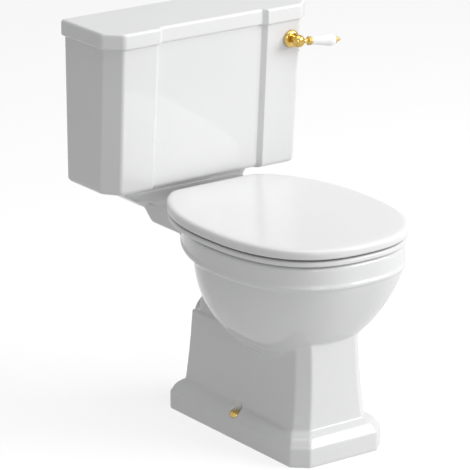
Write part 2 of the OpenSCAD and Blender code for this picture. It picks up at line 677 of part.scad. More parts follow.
module lever_arm() color(brass) {
    difference() {
        union() {
            // domed boss over the spindle's end
            along_y(arm_y - 9, lever_x, lever_z) rotate_extrude($fn = 64)
                polygon([[0, 0], [4, 0.3], [8, 1.6], [11, 4], [12.6, 7.4], [13, 11], [12, 14],
                         [9, 17], [7.5, 19], [7.5, rose_y - arm_y + 8.5], [0, rose_y - arm_y + 8.5]]);
            on_arm(8) rotate_extrude($fn = 48)
                polygon([[0, 0], [5, 0], [4.2, 4], [4.2, 9], [6.5, 10.6], [9, 12], [9.2, 13], [8.4, 14.2],
                         [7.4, 14.8], [8.8, 15.6], [9.2, 17], [8.6, 18.4], [7, 19.4], [7, grip_from - 8],
                         [3, grip_from - 8], [3, grip_from + grip_l + 0.5], [0, grip_from + grip_l + 0.5]]);
        }
        along_y(arm_y - 4, lever_x, lever_z) cylinder(h = 40, r = spindle_r + run_gap, $fn = 48);
    }
}

module lever_spindle() color(steel) along_y(arm_y - 3.5, lever_x, lever_z)
    cylinder(h = crank_y + 5 - arm_y + 3.5, r = spindle_r, $fn = 48);

module lever_grip() color(china) on_arm(grip_from) rotate_extrude($fn = 64)
    polygon(concat([[3 + run_gap, 0], [6.8, 0], [8, 1.4]],
                   [for (t = [0.1:0.15:0.85]) [mix(8.2, 12.5, pow(t, 1.3)), grip_l * (0.03 + t * 0.75)]],
                   [[12.5, grip_l * 0.76], [12.2, grip_l * 0.84], [11, grip_l * 0.92],
                    [8.6, grip_l * 0.98], [6.4, grip_l], [3 + run_gap, grip_l]]));

module lever_finial() color(brass) on_arm(grip_from + grip_l) difference() {
    rotate_extrude($fn = 48)
        polygon([[0, 0], [6.4, 0], [7.5, 1.4], [7.2, 3], [5, 4.2], [4.2, 6], [3.8, 8.4],
                 [2.4, 11], [0.8, 12.8], [0, 13]]);
    translate([0, 0, -over]) cylinder(h = 10.2, r = 3 + run_gap, $fn = 32);
}

crank_y = outlet_y - 13;                      // the crank's near face
crank_drop = 16;                              // it hangs this far below level at rest
crank_end = [lever_x - crank_l * cos(crank_drop), lever_z - crank_l * sin(crank_drop)];
slot = [4.5, 2.3];

module lever_crank() color(steel) difference() {
    union() {
        along_y(crank_y, lever_x, lever_z) cylinder(h = 4, r = 11, $fn = 48);
        along_y(crank_y - 3, lever_x, lever_z) cylinder(h = 10, r = 8, $fn = 48);
        translate([lever_x, crank_y + 0.5, lever_z]) rotate([0, -crank_drop, 0])
            translate([-crank_l - 9, 0, -6]) cube([crank_l + 9, 3, 12]);
    }
    along_y(crank_y - 10, lever_x, lever_z) cylinder(h = 30, r = spindle_r + run_gap, $fn = 48);
    translate([crank_end.x, crank_y - over, crank_end.y]) rotate([0, -crank_drop, 0])
        translate([-slot.x, 0, -slot.y]) cube([2 * slot.x, 4 + 2 * over, 2 * slot.y]);
}

// -------------------------------------------------------------------- the siphon

siphon_leg_r = 23;
siphon_wall = 3;
nut_r = 31;
flange_r = 29;                                // inside the fillet of the cistern floor
flange_z = tank_z + tank_floor + 3;
bell_x = lever_x - crank_l + 2;               // under the middle of the crank's travel
bell_y = outlet_y - 11;
bell_r = bell_d / 2;
bell_z = tank_z + 26;
arch_z = lever_z - 130;
bell_top = arch_z - 26;                       // where the bell turns in to its neck
arch_r = norm([bell_x, bell_y - outlet_y]) / 2;
arch_turn = atan2(bell_y - outlet_y, bell_x);
rod_r = 3;
eye_z = lever_z - 57;
plate_z = bell_z + 10;

// One arm over the top: a half ring of round section r.
module arch(r) translate([0, outlet_y, arch_z]) rotate([0, 0, arch_turn]) translate([arch_r, 0, 0])
    rotate([90, 0, 0]) rotate_extrude(angle = 180, $fn = 96) translate([arch_r, 0]) circle(r, $fn = 64);

module siphon_body() color(nylon) difference() {
    union() {
        translate([0, outlet_y, shelf_z - 6])
            cylinder(h = arch_z - shelf_z + 6, r = siphon_leg_r, $fn = 72);
        translate([0, outlet_y, flange_z]) cylinder(h = 5, r = flange_r, $fn = 72);
        translate([0, outlet_y, arch_z - 12]) cylinder(h = 14, r = siphon_leg_r + 2, $fn = 72);
        arch(siphon_leg_r - 0.5);
        translate([bell_x, bell_y, 0]) {
            translate([0, 0, bell_z]) cylinder(h = bell_top - bell_z, r = bell_r, $fn = 96);
            translate([0, 0, bell_top]) cylinder(h = 20, r1 = bell_r, r2 = siphon_leg_r + 2, $fn = 96);
            translate([0, 0, arch_z - 12]) cylinder(h = 14, r = siphon_leg_r + 2, $fn = 72);
            translate([0, 0, arch_z + 30]) cylinder(h = 27, r = 6, $fn = 32);
        }
    }
    translate([0, outlet_y, shelf_z - 7])
        cylinder(h = arch_z - shelf_z + 8, r = siphon_leg_r - siphon_wall, $fn = 72);
    arch(siphon_leg_r - siphon_wall - 0.6);
    translate([bell_x, bell_y, 0]) {
        translate([0, 0, bell_z - over]) cylinder(h = bell_top - bell_z, r = bell_r - siphon_wall, $fn = 96);
        translate([0, 0, bell_top - 2])
            cylinder(h = 20, r1 = bell_r - siphon_wall, r2 = siphon_leg_r - siphon_wall, $fn = 96);
        translate([0, 0, bell_top + 17]) cylinder(h = arch_z - bell_top - 16, r = siphon_leg_r - siphon_wall,
                                                  $fn = 72);
        translate([0, 0, arch_z]) cylinder(h = 90, r = rod_r + 0.3, $fn = 32);
    }
}

module siphon_washer() color(rubber) translate([0, outlet_y, tank_z + tank_floor])
    tube(flange_z - tank_z - tank_floor, 2 * flange_r - 2, 2 * siphon_leg_r + 0.4);

module siphon_nut() color(nylon) translate([0, outlet_y, shelf_z + 3.4]) difference() {
    cylinder(h = tank_z - shelf_z - 3.7, r = nut_r, $fn = 6);
    translate([0, 0, -over]) cylinder(h = 20, r = siphon_leg_r + run_gap, $fn = 72);
}

// The plate that lifts the first water over the arch, with its rod and eye.
module siphon_plate() color(nylon) translate([bell_x, bell_y, 0]) {
    difference() {
        translate([0, 0, plate_z]) cylinder(h = 3, r = bell_r - siphon_wall - 0.6, $fn = 72);
        for (a = [0:45:315]) rotate([0, 0, a]) translate([21, 0, plate_z - over])
            cylinder(h = 5, r = 5.5, $fn = 32);
    }
    translate([0, 0, plate_z + 2]) cylinder(h = eye_z - plate_z - 7, r = rod_r, $fn = 32);
    translate([0, 0, plate_z + 2]) cylinder(h = 8, r = 7, $fn = 32);
    along_y(-1.5, 0, eye_z) tube(3, 12, 5.4, $fn = 48);
}

// A thin flap that shuts the holes in the plate on its way up.
module siphon_flap() color(rubber) translate([bell_x, bell_y, plate_z + 3])
    tube(0.8, 2 * (bell_r - siphon_wall - 4), 14.4);

// The wire loop that hangs the rod from the crank.
link_r = 7;

module siphon_link() color(steel) translate([bell_x, bell_y, 0]) rotate([0, 0, 90]) {
    top = crank_end.y - link_r;
    bottom = eye_z + link_r;
    for (side = [-1, 1]) translate([side * link_r, 0, bottom])
        cylinder(h = top - bottom, r = 1.5, $fn = 24);
    translate([0, 0, top]) rotate([90, 0, 0])
        rotate_extrude(angle = 180, $fn = 48) translate([link_r, 0]) circle(1.5, $fn = 24);
    translate([0, 0, bottom]) rotate([90, 0, 0]) mirror([0, 1, 0])
        rotate_extrude(angle = 180, $fn = 48) translate([link_r, 0]) circle(1.5, $fn = 24);
}

// ---------------------------------------------------------------- the fill valve

inlet_y = wall_y - 90;
inlet_z = tank_top_z - 83;
inlet_r = 10.3;                               // half inch thread
inlet_wall_x = tank_hw(inlet_z);
tail_l = 28;                                  // threaded tail outside the wall
shank_r = inlet_r + 0.4;                      // where the tail passes the wall and its nut
inlet_nut_h = 7;
inlet_nut_end = inlet_wall_x + 2.4 + inlet_nut_h;
valve_x = inlet_wall_x - 66.2;                // inner end of the valve
float_pin = [valve_x - 10, inlet_z];
arm_r = 3;
dry_angle = 20;
float_l = 308;

module fill_valve() color(nylon) difference() {
    union() {
        translate([0, inlet_y, inlet_z]) rotate([0, 90, 0]) {
            translate([0, 0, valve_x]) cylinder(h = 48, r = 13, $fn = 64);
            translate([0, 0, valve_x + 28]) cylinder(h = 8, r = 16, $fn = 64);
            translate([0, 0, inlet_wall_x - tank_wall - 8]) cylinder(h = 5, r = 18, $fn = 64);
            translate([0, 0, valve_x + 38])
                cylinder(h = inlet_nut_end + 0.4 - valve_x - 38, r = shank_r, $fn = 64);
            translate([0, 0, inlet_nut_end])
                cylinder(h = inlet_wall_x + tail_l - inlet_nut_end, r = inlet_r, $fn = 64);
        }
        for (side = [-1, 1])
            translate([float_pin.x - 7, inlet_y + (side > 0 ? 4.6 : -7.6), inlet_z - 6]) cube([22, 3, 12]);
    }
    translate([valve_x + 22, inlet_y, inlet_z]) rotate([0, 90, 0]) cylinder(h = 100, r = 6, $fn = 48);
    along_y(inlet_y - 20, float_pin.x, float_pin.y) cylinder(h = 40, r = 2.5 + run_gap, $fn = 32);
    translate([valve_x + 22, inlet_y, inlet_z - 30]) cylinder(h = 30, r = 4, $fn = 32);
}

module fill_valve_washer() color(rubber) {
    translate([inlet_wall_x - tank_wall - 3, inlet_y, inlet_z]) rotate([0, 90, 0])
        tube(2.6, 34, 2 * shank_r + 0.2);
    translate([inlet_wall_x + 0.4, inlet_y, inlet_z]) rotate([0, 90, 0]) tube(2, 34, 2 * shank_r + 0.2);
}

module fill_valve_nut() color(brass) translate([inlet_wall_x + 2.4, inlet_y, inlet_z])
    rotate([0, 90, 0]) difference() {
        cylinder(h = inlet_nut_h, r = 16, $fn = 6);
        translate([0, 0, -over]) cylinder(h = 20, r = shank_r + run_gap, $fn = 64);
    }

module fill_valve_pin() color(steel) along_y(inlet_y - 8.4, float_pin.x, float_pin.y)
    cylinder(h = 16.8, r = 2.5, $fn = 32);

module float_arm() color(brass) difference() {
    union() {
        along_y(inlet_y - 4, float_pin.x, float_pin.y) cylinder(h = 8, r = 6, $fn = 48);
        translate([float_pin.x, inlet_y, float_pin.y]) rotate([0, -90 - dry_angle, 0])
            cylinder(h = float_l - float_d / 2 + 6, r = arm_r, $fn = 32);
    }
    along_y(inlet_y - 20, float_pin.x, float_pin.y) cylinder(h = 40, r = 2.5 + run_gap, $fn = 32);
}

module float_ball() color("white") translate([float_pin.x, inlet_y, float_pin.y])
    rotate([0, -90 - dry_angle, 0]) difference() {
        union() {
            translate([0, 0, float_l]) sphere(d = float_d, $fn = 72);
            translate([0, 0, float_l - float_d / 2 - 5]) cylinder(h = 12, r = 8, $fn = 48);
        }
        cylinder(h = float_l - float_d / 2 + 6.2, r = arm_r + run_gap, $fn = 32);
    }

pan();
floor_sleeves();
floor_caps();
cistern();
cistern_lid();
coupling_gasket();
coupling_bolts();
coupling_washers();
coupling_wing_nuts();
seat_ring();
ring_buffers();
seat_lid();
lid_buffers();
hinge_posts();
hinge_pins();
hinge_washers();
hinge_nuts();
lever_rose();
lever_seal();
lever_backnut();
lever_arm();
lever_spindle();
lever_grip();
lever_finial();
lever_crank();
siphon_body();
siphon_washer();
siphon_nut();
siphon_plate();
siphon_flap();
siphon_link();
fill_valve();
fill_valve_washer();
fill_valve_nut();
fill_valve_pin();
float_arm();
float_ball();
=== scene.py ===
import math

import bmesh
import bpy
import numpy as np
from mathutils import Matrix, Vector


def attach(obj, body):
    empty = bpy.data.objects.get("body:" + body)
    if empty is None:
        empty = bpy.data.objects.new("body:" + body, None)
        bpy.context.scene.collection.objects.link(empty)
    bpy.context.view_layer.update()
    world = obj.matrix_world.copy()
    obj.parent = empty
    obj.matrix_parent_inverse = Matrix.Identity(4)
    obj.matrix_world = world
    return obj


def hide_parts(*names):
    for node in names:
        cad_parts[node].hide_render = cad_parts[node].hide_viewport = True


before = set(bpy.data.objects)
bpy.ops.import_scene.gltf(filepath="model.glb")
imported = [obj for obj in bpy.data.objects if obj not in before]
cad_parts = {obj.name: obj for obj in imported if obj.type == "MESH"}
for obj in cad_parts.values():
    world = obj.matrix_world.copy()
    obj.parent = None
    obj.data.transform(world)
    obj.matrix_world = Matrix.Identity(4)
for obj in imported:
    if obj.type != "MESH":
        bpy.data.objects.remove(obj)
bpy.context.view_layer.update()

# ------------------------------------------------------------------ the studio
# A pale floor, a big soft box high on the right, a softer one overhead and a
# weak one ahead, in a white surround that gives less light than it shows. The camera stands
# well back, ahead on the left, and looks a little down.

scene = bpy.context.scene
scene.view_settings.view_transform = "Standard"

camera = bpy.data.objects.new("camera", bpy.data.cameras.new("camera"))
camera.data.lens = 271.07
camera.data.sensor_width = 36
camera.data.clip_end = 60
camera.location = (-3.9187, -5.2514, 2.5127)
turn, tilt = math.radians(-36.02), math.radians(17.89)
ahead = Vector((-math.sin(turn) * math.cos(tilt), math.cos(turn) * math.cos(tilt), -math.sin(tilt)))
camera.rotation_euler = ahead.to_track_quat("-Z", "Y").to_euler()
camera.rotation_euler.rotate_axis("Z", 0.00225)
scene.collection.objects.link(camera)
scene.camera = camera


def soft_box(name, place, aim, size, power):
    light = bpy.data.lights.new(name, "AREA")
    light.shape = "RECTANGLE"
    light.size, light.size_y = size
    light.energy = power
    box = bpy.data.objects.new(name, light)
    box.location = place
    box.rotation_euler = (Vector(aim) - Vector(place)).to_track_quat("-Z", "Y").to_euler()
    scene.collection.objects.link(box)


middle = (0, 0, 0.4)
soft_box("key_box", (2.6, -2.6, 2.3), middle, (2.6, 2.2), 128)
soft_box("top_box", (0.2, -0.3, 3.6), middle, (3.0, 3.0), 50)
soft_box("left_box", (-1.6, -4.6, 1.6), middle, (1.6, 1.6), 28)

surround = bpy.data.worlds.new("surround")
scene.world = surround
surround.use_nodes = True
sky = surround.node_tree
sight = sky.nodes.new("ShaderNodeLightPath")
dimmers = []
for ray, less in (("Is Diffuse Ray", 0.69), ("Is Glossy Ray", 0.2)):
    dimmer = sky.nodes.new("ShaderNodeMath")
    dimmer.operation = "MULTIPLY_ADD"
    sky.links.new(sight.outputs[ray], dimmer.inputs[0])
    dimmer.inputs[1].default_value = -less
    dimmer.inputs[2].default_value = 1
    dimmers.append(dimmer)
sky.links.new(dimmers[0].outputs[0], dimmers[1].inputs[2])
sky.nodes["Background"].inputs["Color"].default_value = (1, 1, 1, 1)
sky.links.new(dimmers[1].outputs[0], sky.nodes["Background"].inputs["Strength"])

floor_mesh = bpy.data.meshes.new("floor")
floor_reach = 5
floor_mesh.from_pydata([(x * floor_reach, y * floor_reach, -0.0002) for x, y in
                        ((-1, -1), (1, -1), (1, 1), (-1, 1))], [], [(0, 1, 2, 3)])
floor = bpy.data.objects.new("floor", floor_mesh)
scene.collection.objects.link(floor)
pale = bpy.data.materials.new("pale_floor")
pale.use_nodes = True
pale_shader = pale.node_tree.nodes["Principled BSDF"]
pale_shader.inputs["Base Color"].default_value = (0.9, 0.9, 0.9, 1)
pale_shader.inputs["Roughness"].default_value = 0.8
pale_shader.inputs["Emission Color"].default_value = (1, 1, 1, 1)
pale_shader.inputs["Emission Strength"].default_value = 0.3
pale_shader.inputs["Alpha"].default_value = 0.35
floor.data.materials.append(pale)

# --------------------------------------------------------------------- the pan
# One casting of vitreous china, slip cast, glazed white all over and fired: the
# bowl with a flat band round its rim, a pedestal with cut-off corners on a
# moulded plinth, and the neck, deck and shelf behind. It stands on the floor.

mm = 0.001
rim_z = 418
rim_hw, rim_c, rim_front, rim_rear, rim_power = 192, -30, 251, 270, 2.5
bowl_c = -35                    # middle of the bowl's inside
band_h = 46
band_z = rim_z - band_h
shelf_z = 442
wall_y = 381
outlet_y = wall_y - 48
outlet_z = 180
duct_z = rim_z - 22
foot_z, plinth_h = 64, 41
shoulder_z = 211                # top of the pedestal behind the bowl
spigot_y = 182
floor_x, coupling_x = 98, 73    # floor screws and coupling bolts, off the middle
hinge_x, hinge_y, hinge_z = 80, 193.5, rim_z + 26
bolt_r = 6                      # the holes for all four bolts


def shown(name, mesh):
    piece = bpy.data.objects.new(name, mesh)
    scene.collection.objects.link(piece)
    return piece


def skinned(name, rings):
    """A closed skin over rings of points in mm, all with as many points."""
    n, m = len(rings[0]), len(rings)
    points = [tuple(float(v) * mm for v in p) for ring in rings for p in ring]
    faces = [tuple(range(n))[::-1], tuple((m - 1) * n + i for i in range(n))]
    faces += [(j * n + i, j * n + (i + 1) % n, (j + 1) * n + (i + 1) % n, (j + 1) * n + i)
              for j in range(m - 1) for i in range(n)]
    return closed(name, points, faces)


def closed(name, points, faces):
    mesh = bpy.data.meshes.new(name)
    mesh.from_pydata(points, [], faces)
    work = bmesh.new()
    work.from_mesh(mesh)
    bmesh.ops.recalc_face_normals(work, faces=work.faces)
    work.to_mesh(mesh)
    work.free()
    return shown(name, mesh)


def lofted(name, rows):
    """A skin through level outlines, each row a height and an outline."""
    return skinned(name, [[(x, y, z) for x, y in outline] for z, outline in rows])


def turned(name, profile, at, along=(0, 0, 1), n=96):
    """A turned piece: profile is (radius, distance along the axis) in mm."""
    frame_of = Vector(along).normalized().to_track_quat("Z", "Y").to_matrix()
    points, rings = [], []
    for r, h in profile:
        count = n if r > 1e-6 else 1
        rings.append(list(range(len(points), len(points) + count)))
        for i in range(count):
            a = 2 * math.pi * i / n
            p = frame_of @ Vector((r * math.cos(a), r * math.sin(a), h)) + Vector(at)
            points.append(tuple(p * mm))
    pairs = list(zip(rings, rings[1:]))
    if len(rings[0]) > 1 and len(rings[-1]) > 1:
        pairs.append((rings[-1], rings[0]))
    faces = []
    for low, high in pairs:
        for i in range(n):
            a, b = low[i % len(low)], low[(i + 1) % len(low)]
            c, d = high[(i + 1) % len(high)], high[i % len(high)]
            face = tuple(dict.fromkeys((a, b, c, d)))
            if len(face) > 2:
                faces.append(face)
    return closed(name, points, faces)


def bar(a, b, r, n=64):
    """A plain round bar from a to b."""
    run = Vector(b) - Vector(a)
    return turned("bar", [(0, 0), (r, 0), (r, run.length), (0, run.length)], a, run, n)


def brick(low, high):
    corners = [(low[0], low[1]), (high[0], low[1]), (high[0], high[1]), (low[0], high[1])]
    return lofted("brick", [(low[2], corners), (high[2], corners)])


def settled(piece):
    """Works the piece's modifiers into its mesh."""
    graph = bpy.context.evaluated_depsgraph_get()
    mesh = bpy.data.meshes.new_from_object(piece.evaluated_get(graph))
    piece.modifiers.clear()
    piece.data = mesh
    return piece


def joined(piece, operation, tools):
    """Adds tools to the piece ("UNION") or cuts them out ("DIFFERENCE")."""
    for tool in tools:
        step = piece.modifiers.new("step", "BOOLEAN")
        step.solver = "MANIFOLD"
        step.operation = operation
        step.object = tool
    settled(piece)
    for tool in tools:
        bpy.data.objects.remove(tool)
    return piece


def egg(half, centre, front, rear, power=2.1, rear_power=2.1, n=240):
    """An egg outline: its half width, and how far it reaches from y = centre."""
    a = 2 * np.pi * (np.arange(n) + 0.5) / n
    c, s = np.cos(a), np.sin(a)
    k = 2 / np.where(s < 0, power, rear_power)
    far = np.where(s < 0, front, rear)
    return np.stack([half * np.sign(c) * abs(c) ** k, centre + far * np.sign(s) * abs(s) ** k], 1)


def rounded(corners, n=8):
    """A closed outline through corners (x, y, radius), each rounded off."""
    outline, m = [], len(corners)
    for i, (x, y, r) in enumerate(corners):
        p = np.array([x, y], float)
        u = np.array(corners[i - 1][:2]) - p
        v = np.array(corners[(i + 1) % m][:2]) - p
        u, v = u / np.linalg.norm(u), v / np.linalg.norm(v)
        half = math.acos(max(-1, min(1, u @ v))) / 2
        mid = (u + v) / np.linalg.norm(u + v)
        centre = p + mid * r / math.sin(half)
        s, e = p + u * r / math.tan(half) - centre, p + v * r / math.tan(half) - centre
        start = math.atan2(s[1], s[0])
        swing = (math.atan2(e[1], e[0]) - start + math.pi) % (2 * math.pi) - math.pi
        outline += [tuple(centre + r * np.array([math.cos(start + swing * k / n),
                                                 math.sin(start + swing * k / n)]))
                    for k in range(n + 1)]
    return outline


def block(w, y0, y1, cut, r=4):
    """A block outline from y0, with its front corners cut off, to y1."""
    return rounded([(w, y1, r), (-w, y1, r), (-w, y0 + cut[1], r), (-w + cut[0], y0, r),
                    (w - cut[0], y0, r), (w, y0 + cut[1], r)])


def mix(a, b, t):
    return a + (b - a) * t


def flowing(rows, steps=6):
    """The rows of numbers with a smooth curve run through them."""
    rows = np.array(rows, float)
    gaps = np.maximum(np.linalg.norm(np.diff(rows, axis=0), axis=1), 1e-6)
    at = np.concatenate([[0], np.cumsum(gaps)])
    slope = np.gradient(rows, at, axis=0)
    out = []
    for i, gap in enumerate(gaps):
        for t in np.arange(steps) / steps:
            out.append((2 * t**3 - 3 * t**2 + 1) * rows[i] + (t**3 - 2 * t**2 + t) * gap * slope[i]
                       + (3 * t**2 - 2 * t**3) * rows[i + 1] + (t**3 - t**2) * gap * slope[i + 1])
    return out + [rows[-1]]


def bowl_outside():
    """The bowl, almost straight from its foot to the band with a bead below."""
    foot = 165
    keep = lambda u, power, root=0.5: max(0, 1 - u**power) ** root
    rows = []
    for a in np.linspace(90, 0, 40):
        u = 0.985 * math.sin(math.radians(a))
        rows.append((band_z - 1 - u * (band_z - 1 - foot),
                     egg((rim_hw - 3) * keep(u, 1.7), rim_c, (rim_front - 3) * keep(u, 1.113, 0.445),
                         202 * keep(u, 3.6), rim_power, 1.63)))
    for up, out in ((-0.5, -1.5), (2.5, 1.5), (7, 1.5), (10, -1.5),
                    (band_h - 5, -1), (band_h - 1.5, -2.5), (band_h, -6)):
        rows.append((band_z + up, egg(rim_hw + out, rim_c, rim_front + out, rim_rear + out,
                                      rim_power, 1.63)))
    return lofted("bowl", rows)


def pedestal_outside():
    """The pedestal over a convex moulding and the plinth's upright faces."""
    hw, foot_front, foot_back, waist_hw = 87.5, -195, 188, 76.5
    plinth = lambda t: block(mix(111, hw, t), mix(-221, foot_front, t), mix(208, foot_back, t),
                             (mix(30, 25, t), mix(27, 24, t)))
    ring = lambda t, rear=None: block(
        mix(hw, waist_hw, 1 - (1 - t) ** 2), mix(foot_front, foot_front + 11, t),
        mix(foot_back, foot_back - 10, t) if rear is None else rear, (mix(25, 23, t), mix(24, 22, t)))
    height = lambda t: mix(foot_z, 240, t)
    top = (shoulder_z - foot_z) / (240 - foot_z)
    rows = [(0, plinth(0)), (plinth_h - 3, plinth(0)), (plinth_h - 0.8, plinth(0.04)),
            (plinth_h, plinth(0.11))]
    for t in np.linspace(0.07, 1, 15):
        a = t * math.pi / 2
        rows.append((plinth_h + (foot_z - plinth_h) * mix(t, math.sin(a), 0.6),
                     plinth(mix(0.11, 1, mix(t, 1 - math.cos(a), 0.6)))))
    rows += [(height(t), ring(t)) for t in np.linspace(0.06, top, 14)]
    rows += [(height(t), ring(t, 40)) for t in (top + 0.01, 1)]
    return lofted("pedestal", rows)


def neck_outside():
    return lofted("neck", [(shoulder_z + up, block(w, 0, rear, (1, 1), 16)) for up, w, rear in flowing(
        [(-8, 72, 168), (3, 72, 168), (30, 68, 168), (57, 62, 167), (90, 60, 171), (115, 61, 181),
         (134, 65, 196), (151, 77, 215), (161, 95, 236), (168, 112, 250), (174, 113, 251)])])


def deck_outside():
    return lofted("deck", [(379 + up, block(118.5 - inset, 60, 254 + rear, (1, 1), 3))
                           for up, inset, rear in ((0, 4, 0), (1.2, 1.2, 2), (4, 0, 8), (11, 0, 16),
                                                   (19, 0, 25), (27, 0, 34), (36, 0, 38),
                                                   (38, 1, 38), (39, 3.5, 38))])


def shelf_outside():
    front, rear = wall_y - 85, wall_y - 8
    rows = flowing([(-37, 122, 38), (-34, 126, 38), (-28, 133, 37), (-24, 139, 32), (-21, 145, 12),
                    (-17, 151, 4), (-12, 159, 0), (-6, 166, 0)])
    rows += [(-2, 167, 0.5), (0, 165, 3)]
    outline = lambda w, y: rounded([(w, rear, 6), (-w, rear, 6), (-w, y, 38), (w, y, 38)])
    return lofted("shelf", [(shelf_z + up, outline(w, front - ahead)) for up, w, ahead in rows])


# height, half width, and reach to the front and rear of the bowl's inside
bowl_inside = [(108, 24, 50, 60), (116, 34, 64, 66), (126, 38, 68, 54), (142, 44, 76, 25),
               (152, 46, 80, 20), (170, 50, 88, 33), (200, 62, 108, 55), (230, 82, 135, 76),
               (260, 108, 165, 94), (290, 132, 188, 108), (320, 150, 203, 120), (350, 159, 212, 126),
               (370, 160, 214, 128), (384, 152, 204, 124), (390, 140, 190, 118), (419, 141, 191, 119)]


def bowl_space():
    return lofted("bowl_space", [(z, egg(w, bowl_c, front, rear, 2.2, 2.2))
                                 for z, w, front, rear in flowing(bowl_inside, 4)])


def sump_shell(wall=11):
    low = bowl_inside[0]
    rows = [(low[0] + down, egg(low[1] + out, bowl_c, low[2] + out, low[3] + out, 2.2, 2.2))
            for down, out in ((-12, 2), (-8, 9))]
    rows += [(z, egg(w + wall, bowl_c, front + wall, rear + wall, 2.2, 2.2))
             for z, w, front, rear in flowing(bowl_inside[1:7], 4)]
    return lofted("sump", rows)


def trapway(r, lead, tail, n=48):
    """The trapway climbs from the sump, turns over the weir and levels out."""
    start, end = (7.3, 126.4), (spigot_y + 3, outlet_z)
    bend = 12
    bends = rounded([(*start, 1), (96, 240, 46), (160, outlet_z, 40), (*end, 1)], bend)
    line = np.array([start, *bends[bend + 1:3 * (bend + 1)], (end[0] + tail, end[1])])
    rise = (line[1] - line[0]) / np.linalg.norm(line[1] - line[0])
    line[0] -= rise * lead
    rings = []
    for i in range(len(line)):
        step = line[min(i + 1, len(line) - 1)] - line[max(i - 1, 0)]
        step /= np.linalg.norm(step)
        rings.append([(r * math.cos(a), line[i][0] + r * math.sin(a) * step[1],
                       line[i][1] - r * math.sin(a) * step[0])
                      for a in 2 * np.pi * np.arange(n) / n])
    return skinned("trapway", rings)


pan = joined(bowl_outside(), "UNION", [
    pedestal_outside(), neck_outside(), deck_outside(), shelf_outside(),
    bar((0, outlet_y, duct_z - 24), (0, outlet_y, duct_z + 20), 38),
    bar((0, 190, duct_z), (0, outlet_y, duct_z), 20)])
pan = joined(pan, "DIFFERENCE", [
    lofted("hollow", [(z, block(74.5 - inset, -182 + ahead, 298, (20, 20), 6))
                      for z, inset, ahead in ((-1, 0, 0), (foot_z, 0, 0), (182, 4, 6), (192, 18, 12))]),
    brick((42, 300, 379), (106, 365, 428)), brick((-106, 300, 379), (-42, 365, 428))])
pan = joined(pan, "UNION", [
    sump_shell(), trapway(37, 4, 0),
    turned("spigot", [(30, 0), (51, 0), (51, 29), (44, 29), (44, 8), (30, 8)],
           (0, spigot_y, outlet_z), (0, 1, 0))])


def bore(x, y, z, length, r):
    """A level-ended round hole upwards from z."""
    return bar((x, y, z), (x, y, z + length), r)


holes = [bowl_space(), trapway(27, 0, 1), bore(0, outlet_y, 384, 80, 27),
         bar((0, 60, duct_z), (0, outlet_y, duct_z), 14)]
for side in (-1, 1):
    holes += [bore(side * floor_x, 0, -1, 90, bolt_r), bore(side * floor_x, 0, 45, 44, 13),
              bore(side * hinge_x, hinge_y, 387, 80, bolt_r), bore(side * hinge_x, hinge_y, 339, 49, 15),
              bore(side * coupling_x, outlet_y, 382, 80, bolt_r)]
pan = joined(pan, "DIFFERENCE", holes)


def melted(piece, grain, softness):
    """Fires the casting: one even skin, its edges and joins softened."""
    skin = piece.modifiers.new("skin", "REMESH")
    skin.mode = "VOXEL"
    skin.voxel_size = grain * 1
    skin.use_smooth_shade = True
    soft = piece.modifiers.new("soft", "SMOOTH")
    soft.factor = 0.5
    soft.iterations = softness
    return settled(piece)


pan = melted(pan, 0.0022, 7)
pan.name = "china_pan"


def surface(name, pale, deep, patch, gloss, grain, relief, stretch=(1, 1, 1), metal=0.0):
    """A finish whose colour drifts from pale to deep over patches of that size in
    metres, whose roughness drifts over gloss, with a fine grain in relief."""
    finish = bpy.data.materials.new(name)
    finish.use_nodes = True
    nodes, links = finish.node_tree.nodes, finish.node_tree.links
    shader = nodes["Principled BSDF"]
    shader.inputs["Metallic"].default_value = metal
    place = nodes.new("ShaderNodeTexCoord")
    pull = nodes.new("ShaderNodeMapping")
    pull.inputs["Scale"].default_value = stretch
    links.new(place.outputs["Object"], pull.inputs["Vector"])

    def cloud(size, detail):
        noise = nodes.new("ShaderNodeTexNoise")
        noise.inputs["Scale"].default_value = 1 / size
        noise.inputs["Detail"].default_value = detail
        links.new(pull.outputs["Vector"], noise.inputs["Vector"])
        return noise.outputs["Fac"]

    tint = nodes.new("ShaderNodeValToRGB")
    tint.color_ramp.elements[0].position = 0.35
    tint.color_ramp.elements[1].position = 0.65
    tint.color_ramp.elements[0].color = (*deep, 1)
    tint.color_ramp.elements[1].color = (*pale, 1)
    links.new(cloud(patch, 3), tint.inputs["Fac"])
    links.new(tint.outputs["Color"], shader.inputs["Base Color"])
    rough = nodes.new("ShaderNodeMapRange")
    rough.inputs["From Min"].default_value = 0.3
    rough.inputs["From Max"].default_value = 0.7
    rough.inputs["To Min"].default_value, rough.inputs["To Max"].default_value = gloss
    links.new(cloud(patch * 0.6, 4), rough.inputs["Value"])
    links.new(rough.outputs["Result"], shader.inputs["Roughness"])
    bump = nodes.new("ShaderNodeBump")
    bump.inputs["Strength"].default_value = 0.6
    bump.inputs["Distance"].default_value = relief
    links.new(cloud(grain, 2), bump.inputs["Height"])
    links.new(bump.outputs["Normal"], shader.inputs["Normal"])
    return finish


glaze = surface("white_glaze", (0.755, 0.757, 0.76), (0.742, 0.744, 0.748), 0.18, (0.06, 0.11),
                0.02, 0.00004)


def fitted(piece, finish, slot, body, *nodes):
    """Gives a piece its finish and body, in place of the CAD nodes."""
    piece.data.materials.clear()
    piece.data.materials.append(finish)
    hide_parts(*nodes)
    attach(piece, body)


fitted(pan, glaze, "china", "base", "pan")

# ---------------------------------------------------------- the floor fixings
# Nylon sleeves line the screw holes in the plinth, and a domed brass cap snaps
# over each screw head. The caps are spun from sheet brass and polished.


def clad(finish, *nodes):
    """Gives CAD nodes a finish."""
    for name in nodes:
        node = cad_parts[name]
        if not node.material_slots:
            node.data.materials.append(finish)
        for slot in node.material_slots:
            slot.material = finish


